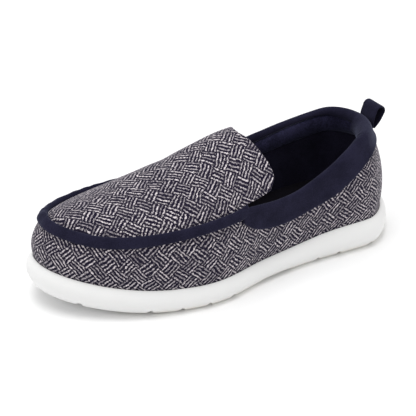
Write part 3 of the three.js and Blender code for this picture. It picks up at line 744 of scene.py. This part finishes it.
def vamp_grid():
    """The plan lifted to the crown, less the dents and small puckers where it is gathered to the
    seam: a cosine along the edge that fades within a tenth of the width."""
    x, y, a, b = vamp_plan(118, 81)
    z = crown_at(x, y)
    depth = np.zeros(x.shape)
    for dent in VAMP_DENTS:
        dx, dy = x - dent["x"], y - dent["y"]
        along = dx * math.cos(dent["tilt"]) + dy * math.sin(dent["tilt"])
        across = dy * math.cos(dent["tilt"]) - dx * math.sin(dent["tilt"])
        depth += dent["deep"] * np.exp(-((along / dent["long"]) ** 2) - (across / dent["wide"]) ** 2)
    edge = np.maximum(np.exp(-(1 - np.abs(a)) / 0.10), np.exp(-b / 0.06)) * soft_step(0.0, 0.03, x)
    depth += PUCKER_DEPTH * edge * (1 + np.cos(2 * np.pi * np.hypot(x, y * 1.2) / PUCKER_PITCH))
    away = np.minimum((1 - np.abs(a)) * (y[:, -1:] - y[:, :1]) / 2, x.max() - x)
    depth += TUCK_DEPTH * np.exp(-away / TUCK_REACH) * soft_step(0.0, 0.02, x)
    bend = np.where(a > 0, TAB_BEND["outer"], TAB_BEND["inner"]) * soft_step(0.66, 1.0, np.abs(a))
    corner = bend * np.exp(-(((1 - b) / 0.12) ** 2))
    roll = TAB_PUFF * np.exp(-(((1 - b) / 0.035) ** 2))
    points = np.stack([x, y, z - depth - roll - corner], -1)
    line_x = np.linspace(-TAB_REACH - 0.002, x.max(), 400)
    line_z = crown_at(line_x, np.interp(line_x, *spine(np.linspace(0, 1, 400))[:2]) + 1e-5)
    down = np.concatenate([[0], np.cumsum(np.hypot(np.diff(line_x), np.diff(line_z)))])
    along_cloth = np.interp(x, line_x, down)
    sideways = np.cumsum(np.hypot(np.diff(y, axis=1, prepend=y[:, :1]), np.diff(z, axis=1, prepend=z[:, :1])), 1)
    half = x.shape[1] // 2
    across_cloth = sideways - sideways[:, half:half + 1]
    return points, np.stack([along_cloth, across_cloth], -1)


vamp_points, vamp_cloth = vamp_grid()
vamp = piece_from_grid("tweed_vamp", vamp_points, tweed, cloth=vamp_cloth, solid=False)
add_wall(vamp, WALL, lining_cloth, round_off=True)
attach(vamp, "root")
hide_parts("upper")


# Seam strip
# A bias-cut strip of navy microsuede, folded over a soft cord and sewn down over the seam between
# wall and vamp, from one end of the collar round the toe to the other.

STRIP_DROP = 0.0047
STRIP_RISE = 0.0018
STRIP_THICKNESS = 0.0032
STRIP_GATHER = 0.00016
STRIP_GATHER_PITCH = 0.011
STRIP_START = -0.001
STRIP_END = 0.009

# How far the strip reaches over the vamp and down the wall, as shares of its usual reach.
STRIP_REACH = {
    "along": [0.50, 0.58, 0.70, 0.90, 1.00],
    "over": [1.6, 1.2, 1.0, 1.0, 1.0],
    "under": [0.9, 1.0, 1.0, 1.0, 0.8],
}

SUEDE_DARK = (0.0075, 0.0070, 0.0175, 1)
SUEDE_LIGHT = (0.0165, 0.0155, 0.0345, 1)
suede = brushed_material("suede", SUEDE_DARK, SUEDE_LIGHT, 1300.0, 0.16)


def turns_between(x, through_toe, count):
    """Evenly spaced turns from an x on the outer side to the same x on the inner side."""
    turn = math.acos(1 - 2 * share(x)) / (2 * math.pi)
    return np.linspace(turn, 1 - turn if through_toe else -turn, count)


def strip_grid():
    """A rounded section, a superellipse of power 3, carried along the ridge: one way across the
    strip, the other out of the cloth. Its ends close on their middle."""
    turn = turns_between(STRIP_START, True, 620)[:, None]
    angle = np.linspace(0, 2 * np.pi, 41)[:-1]
    power = 2 / 3.2
    across = 0.5 - 0.5 * np.sign(np.cos(angle)) * np.abs(np.cos(angle)) ** power
    out = np.sign(np.sin(angle)) * np.abs(np.sin(angle)) ** power
    out = np.where(out < 0, out * 0.45, out)
    ridge_z = ridge(turn)[2]
    low = level_at(turn, ridge_z - STRIP_DROP * through(STRIP_REACH, "under", station(turn)))
    high = level_at(turn, ridge_z + STRIP_RISE * through(STRIP_REACH, "over", station(turn)))
    x, y, _ = ridge(turn)
    way = np.concatenate([[[0.0]], np.cumsum(np.hypot(np.diff(x, axis=0), np.diff(y, axis=0)), 0)])
    gather = STRIP_GATHER * np.sin(2 * np.pi * way / STRIP_GATHER_PITCH + 1.5 * np.sin(way * 140))
    gather = gather * soft_step(0.3, 1.0, out)
    thickness = STRIP_THICKNESS * mix(0.45, 1.0, soft_step(STRIP_START, STRIP_END, x))
    points = shell_point(turn, mix(low, high, across), thickness * out + gather)
    ends = [np.broadcast_to(points[i].mean(0), points[i].shape) for i in (0, -1)]
    return np.concatenate([ends[0][None], points, ends[1][None]])


strip = piece_from_grid("seam_strip", strip_grid(), suede, around=True)
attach(strip, "root")
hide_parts("moc_strip")


# Collar
# A padded band of the same microsuede, turned over the opening's edge with foam inside. It is wide
# on the outside, thick behind the heel, and its lower edge is sewn down to the tweed.

CUFF_THICKNESS = 0.0023
CUFF_WIDTH = 0.017
HEEL_PAD = 0.0094
INSIDE_DROP = 0.0026
HEEL_CROWN = 0.0036

# The width of the band on the outside, as a share of its width along the side.
CUFF_SHAPE = {
    "along": [0.00, 0.10, 0.13, 0.16, 0.20, 0.25, 0.33, 0.42, 0.47, 0.50, 0.52],
    "width": [0.80, 0.72, 0.90, 1.16, 1.36, 1.40, 1.20, 1.10, 1.00, 0.80, 0.54],
}


# How thick the foam is inside the edge, and how far the roll stands over it, as shares of the heel's.
COLLAR_PAD = {
    "along": [0.00, 0.02, 0.05, 0.10, 0.15, 0.20, 0.30],
    "outer": [1.00, 1.05, 1.08, 0.92, 0.58, 0.30, 0.10],
    "inner": [1.00, 0.80, 0.45, 0.22, 0.14, 0.10, 0.10],
}
COLLAR_CROWN = {
    "along": [0.00, 0.05, 0.10, 0.15, 0.20, 0.27, 0.34, 0.42, 0.50],
    "outer": [1.00, 1.10, 1.25, 1.10, 0.75, 0.35, 0.25, 0.50, 0.65],
    "inner": [1.00, 0.85, 0.50, 0.10, 0.15, 0.45, 0.65, 0.60, 0.20],
}


def collar_grid():
    """A closed section carried round the opening. From the sewn edge it goes up the outside, over
    the top by a sine, and down the inside, then back through the wall."""
    turn = turns_between(CUFF_FRONT, False, 760)
    x = upper_point(turn, 0.7)[..., 0]
    s = share(x)
    rim = rim_height(turn, x)
    width = CUFF_WIDTH * through(CUFF_SHAPE, "width", s)
    thick = by_side(COLLAR_PAD, turn, s)
    pad = HEEL_PAD * thick
    inside = INSIDE_DROP * (1 + 1.4 * thick)
    top = ROLL_RISE * (1 + 0.5 * thick)
    crown = HEEL_CROWN * by_side(COLLAR_CROWN, turn, s)
    rows = []
    for t in [0.0, 0.02, 0.06, 0.14, 0.3, 0.5, 0.7, 0.86, 1.0]:
        pillow = 1 - 0.12 * math.sin(math.pi * t) ** 2
        out = CUFF_THICKNESS * (1 - (1 - min(t / 0.14, 1)) ** 2.4) * pillow
        rows.append((mix(width, top, t), out - 0.0002 * (t == 0), 0))
    half = (CUFF_THICKNESS + WALL + pad) / 2
    for angle in np.linspace(0, math.pi, 25)[1:]:
        bulge = math.sin(angle) ** 0.9
        rows.append((top * (1 - bulge), CUFF_THICKNESS - half * (1 - math.cos(angle)), crown * bulge))
    for t in [0.25, 0.5, 0.75, 0.9, 1.0]:
        rows.append((mix(top, inside, t), -WALL - pad * (1 - t**2.2), 0))
    points = []
    for drop, out, lift in rows:
        row = shell_point(turn, level_at(turn, rim - drop), out)
        row[:, 2] += lift
        points.append(row)
    points = np.array(points)
    ends = points.mean(0)[[0, -1]]
    points = points.transpose(1, 0, 2)
    caps = [np.broadcast_to(end, points[0].shape)[None] for end in ends]
    return np.concatenate([caps[0], points, caps[1]])


collar = piece_from_grid("collar_roll", collar_grid(), suede, around=True)
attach(collar, "root")
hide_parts("collar_band")


# Collar facing
# The band of brushed cloth inside the opening, padded with thin foam, sewn below the collar roll
# and again to the darker lining below.

FACING_TOP = 0.0015
FACING_WIDTH = 0.0170
FACING_FRONT = 0.7
FACING_PUFF = 0.0026
HEEL_SWELL = 2.6
FACING_DARK = (0.0110, 0.0104, 0.0260, 1)
FACING_LIGHT = (0.0340, 0.0325, 0.0760, 1)


def facing_grid():
    """A lens-shaped section carried round inside the wall: its inner face swells by half a sine."""
    turn = turns_between(CUFF_FRONT - 0.004, False, 620)
    x = upper_point(turn, 0.7)[..., 0]
    rim = rim_height(turn, x) - ROLL_RISE
    puff = FACING_PUFF * mix(1.0, HEEL_SWELL, 1 - soft_step(0.0, 0.10, share(x)))
    width = FACING_WIDTH * mix(1.0, FACING_FRONT, soft_step(0.12, 0.45, share(x)))
    rows = []
    for t in np.linspace(0, 1, 15):
        level = level_at(turn, rim - FACING_TOP - width * t)
        rows.append(shell_point(turn, level, -WALL - 0.0001 - puff * math.sin(math.pi * t) ** 0.6))
    for t in [0.7, 0.3]:
        level = level_at(turn, rim - FACING_TOP - width * t)
        rows.append(shell_point(turn, level, -WALL * 0.8))
    points = np.array(rows).transpose(1, 0, 2)
    ends = [np.broadcast_to(points[i].mean(0), points[i].shape)[None] for i in (0, -1)]
    return np.concatenate([ends[0], points, ends[1]])


facing_cloth = brushed_material("facing_cloth", FACING_DARK, FACING_LIGHT, 850.0, 0.2)
facing = piece_from_grid("collar_facing", facing_grid(), facing_cloth, around=True)
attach(facing, "root")
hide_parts("upper")


# Pull loop
# A strap of microsuede folded in two, edges turned in, with its ends caught under the collar at
# the back of the heel so that it stands up as a drop-shaped loop.

LOOP_WIDTH = 0.0180
LOOP_STRAP = 0.0014
LOOP_LENGTH = 0.0178
LOOP_RADIUS = 0.0047
LOOP_LEAN = math.radians(24)
LOOP_DROP = 0.0085
LOOP_ROOT = 0.0012
LOOP_BULGE = 0.0009


def loop_grid():
    """A rounded strap section carried up one leg, round an arc and down the other leg. The legs are
    the tangents from the root to the arc. Across the strap is the Y axis."""
    reach = LOOP_LENGTH - LOOP_RADIUS
    radius = LOOP_RADIUS - LOOP_STRAP / 2
    spread = math.asin(radius / reach)
    arc = np.linspace(-spread, math.pi + spread, 60)
    path = np.stack([radius * np.cos(arc), reach + radius * np.sin(arc)], -1)
    leg = np.linspace(0, 1, 16)[:-1, None]
    root_out = np.array([0.0006, -LOOP_ROOT])
    root_in = np.array([-0.0006, -LOOP_ROOT])
    bulge = LOOP_BULGE * np.sin(np.pi * leg) * [1, 0]
    path = np.concatenate([mix(root_out, path[0], leg) + bulge, path, (mix(root_in, path[-1], leg) - bulge)[::-1]])
    run = np.gradient(path, axis=0)
    run /= np.linalg.norm(run, axis=1, keepdims=True)
    side = np.stack([run[:, 1], -run[:, 0]], -1)
    angle = np.linspace(0, 2 * np.pi, 33)[:-1]
    power = 2 / 4.5
    wide = LOOP_WIDTH / 2 * np.sign(np.cos(angle)) * np.abs(np.cos(angle)) ** power
    thick = LOOP_STRAP / 2 * np.sign(np.sin(angle)) * np.abs(np.sin(angle)) ** power
    thick *= 1 - 0.12 * np.cos(2 * angle) ** 2
    flat = path[:, None] + side[:, None] * thick[:, None]
    lean = np.array([[math.cos(LOOP_LEAN), -math.sin(LOOP_LEAN)], [math.sin(LOOP_LEAN), math.cos(LOOP_LEAN)]])
    flat = flat @ lean.T
    points = np.stack([flat[..., 0], np.broadcast_to(wide, flat.shape[:2]), flat[..., 1]], -1)
    seat = shell_point(0.0, level_at(np.array(0.0), COLLAR_HEIGHT - LOOP_DROP), CUFF_THICKNESS + 2 * GAP)
    points = points + seat
    ends = [np.broadcast_to(points[i].mean(0), points[i].shape)[None] for i in (0, -1)]
    return np.concatenate([ends[0], points, ends[1]])


loop = piece_from_grid("pull_loop", loop_grid(), suede, around=True)
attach(loop, "root")
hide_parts("heel_loop")


# Floor, light and camera
# A plain pale studio floor under large soft lights, seen from the photograph's angle.

FLOOR_SIZE = 6.0
CAMERA_AZIMUTH = math.radians(150)
CAMERA_ELEVATION = math.radians(30)
CAMERA_DISTANCE = 0.9
TARGET_HEIGHT = 0.035
FOCAL_PIXELS = 1172
PICTURE_SIZE = 416
CENTRE_PIXEL = (219.6, 218.4)
SENSOR = 36.0


def floor_material():
    """Matt white paper, a little uneven so that it isn't one flat shade."""
    material, tree, shader = new_material("floor_paper", Roughness=0.9, Specular_IOR_Level=0.1)
    place = node(tree, "ShaderNodeTexCoord").outputs["Object"]
    cloud = node(tree, "ShaderNodeTexNoise", {"Vector": place, "Scale": 3.0}).outputs[0]
    tree.links.new(blend_colours(tree, cloud, (0.90, 0.90, 0.90, 1), (0.92, 0.92, 0.92, 1)),
                   shader.inputs["Base Color"])
    return material


corner = FLOOR_SIZE / 2
floor_points = np.array([[[-corner, -corner, 0], [corner, -corner, 0]], [[-corner, corner, 0], [corner, corner, 0]]])
floor_mesh = bpy.data.meshes.new("floor")
floor_mesh.from_pydata(floor_points.reshape(-1, 3).tolist(), [], [(0, 1, 3, 2)])
floor_mesh.materials.append(floor_material())
floor = bpy.data.objects.new("floor", floor_mesh)
bpy.context.scene.collection.objects.link(floor)


def soft_light(name, place, size, energy):
    """A square area light that faces the slipper."""
    lamp = bpy.data.lights.new(name, "AREA")
    lamp.size = size
    lamp.energy = energy
    holder = bpy.data.objects.new(name, lamp)
    holder.location = place
    holder.rotation_euler = (Vector((0, 0, 0.04)) - Vector(place)).to_track_quat("-Z", "Y").to_euler()
    bpy.context.scene.collection.objects.link(holder)


soft_light("top_light", (0.15, -0.2, 1.8), 1.3, 20)
soft_light("key_light", (1.3, 0.3, 1.0), 0.9, 5)
soft_light("heel_light", (-1.3, 1.3, 0.8), 1.2, 8)
soft_light("back_light", (-0.5, -1.5, 1.0), 1.2, 4)

world = bpy.data.worlds.new("studio")
world.use_nodes = True
world.node_tree.nodes["Background"].inputs[0].default_value = (1, 1, 1, 1)
world.node_tree.nodes["Background"].inputs[1].default_value = 0.60
bpy.context.scene.world = world
bpy.context.scene.view_settings.view_transform = "Standard"

behind = np.array([
    math.sin(CAMERA_AZIMUTH) * math.cos(CAMERA_ELEVATION),
    -math.cos(CAMERA_AZIMUTH) * math.cos(CAMERA_ELEVATION),
    math.sin(CAMERA_ELEVATION),
])
lens = bpy.data.cameras.new("camera")
lens.sensor_width = SENSOR
lens.lens = FOCAL_PIXELS / PICTURE_SIZE * SENSOR
lens.shift_x = (PICTURE_SIZE / 2 - CENTRE_PIXEL[0]) / PICTURE_SIZE
lens.shift_y = (CENTRE_PIXEL[1] - PICTURE_SIZE / 2) / PICTURE_SIZE
camera = bpy.data.objects.new("camera", lens)
camera.location = np.array([0, 0, TARGET_HEIGHT]) + OFFSET + behind * CAMERA_DISTANCE
camera.rotation_euler = Vector(-behind).to_track_quat("-Z", "Y").to_euler()
bpy.context.scene.collection.objects.link(camera)
bpy.context.scene.camera = camera
